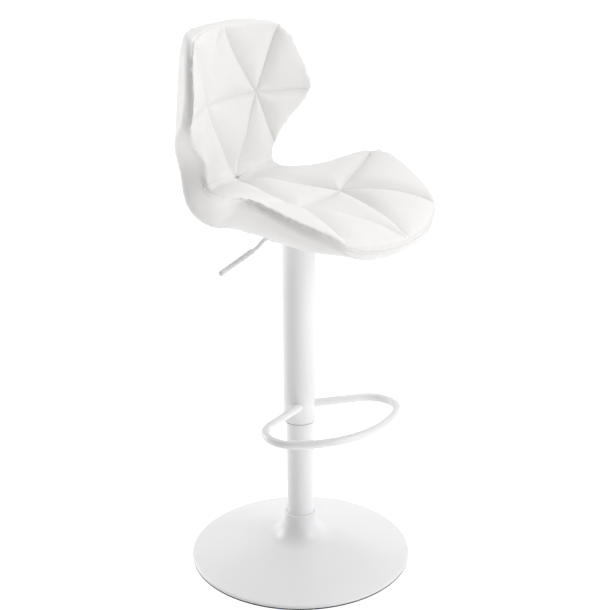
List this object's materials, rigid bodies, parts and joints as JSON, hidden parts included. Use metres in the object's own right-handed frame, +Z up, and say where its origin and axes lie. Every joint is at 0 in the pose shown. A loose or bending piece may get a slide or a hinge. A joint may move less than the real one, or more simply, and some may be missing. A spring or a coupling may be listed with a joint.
{
  "type": "adjustable bar stool",
  "caption": "Swivel bar stool with a quilted bucket seat, gas-lift column, trumpet base, footrest loop and a height lever.",
  "frame": {"origin": "on the column's axis, on the floor under the base ring", "axes": "+Z up along the column, -Y the way the sitter faces, +X the sitter's left"},
  "size_m": [0.41, 0.43, 0.9837],
  "materials": {
    "painted_steel": "satin white powder coat",
    "bare_steel": "plain turned steel",
    "zinc_steel": "zinc plated",
    "nylon": "moulded nylon",
    "white_plastic": "moulded plastic",
    "ring_rubber": "soft moulded rubber",
    "white_leather": "smooth white upholstery leather",
    "foam_cushion": "foam under smooth white upholstery leather",
    "plywood": "moulded beech plywood"
  },
  "bodies": {
    "base": {"base_dish": "painted_steel", "floor_ring": "ring_rubber", "weight_disc": "painted_steel", "collar_ring": "painted_steel", "column_nut": "zinc_steel", "column_tube": "painted_steel", "foot_plug": "bare_steel", "lower_race": "bare_steel", "bearing_balls": "bare_steel", "column_guide": "nylon"},
    "piston": {"piston_rod": "bare_steel", "upper_race": "bare_steel", "rod_clip": "bare_steel", "piston_head": "bare_steel"},
    "seat": {"gas_cylinder": "bare_steel", "end_guide": "nylon", "outer_sleeve": "painted_steel", "sleeve_bush": "nylon", "sleeve_top_ring": "bare_steel", "footrest_loop": "painted_steel", "mount_plate": "painted_steel", "lift_housing": "painted_steel", "taper_socket": "painted_steel", "lever_pin": "zinc_steel", "mount_bolts": "zinc_steel", "bolt_washers": "zinc_steel", "tee_nuts": "zinc_steel", "outer_cover": "white_leather", "seat_board": "plywood", "pan_cushion": "foam_cushion", "back_cushion": "foam_cushion"},
    "lever": {"height_lever": "painted_steel", "lever_grip": "white_plastic"},
    "button": {"valve_button": "bare_steel"}
  },
  "joints": [
    {"name": "seat_swivel", "type": "hinge", "parent": "base", "child": "piston", "pos_m": [0, 0, 0.03], "axis": [0, 0, 1], "continuous": true},
    {"name": "height_lift", "type": "slide", "parent": "piston", "child": "seat", "axis": [0, 0, 1], "range_m": [-0.18, 0.01]},
    {"name": "lever_rock", "type": "hinge", "parent": "seat", "child": "lever", "pos_m": [-0.035, 0, 0.637], "axis": [0, 1, 0], "range_deg": [0, 5], "stiffness_Nm_per_rad": 3, "springref_deg": -2.86},
    {"name": "valve_press", "type": "slide", "parent": "seat", "child": "button", "axis": [0, 0, -1], "range_m": [0, 0.0036]}
  ],
  "couplings": [
    {"joint": "valve_press", "follows": "lever_rock", "m_per_rad": 0.0385}
  ]
}
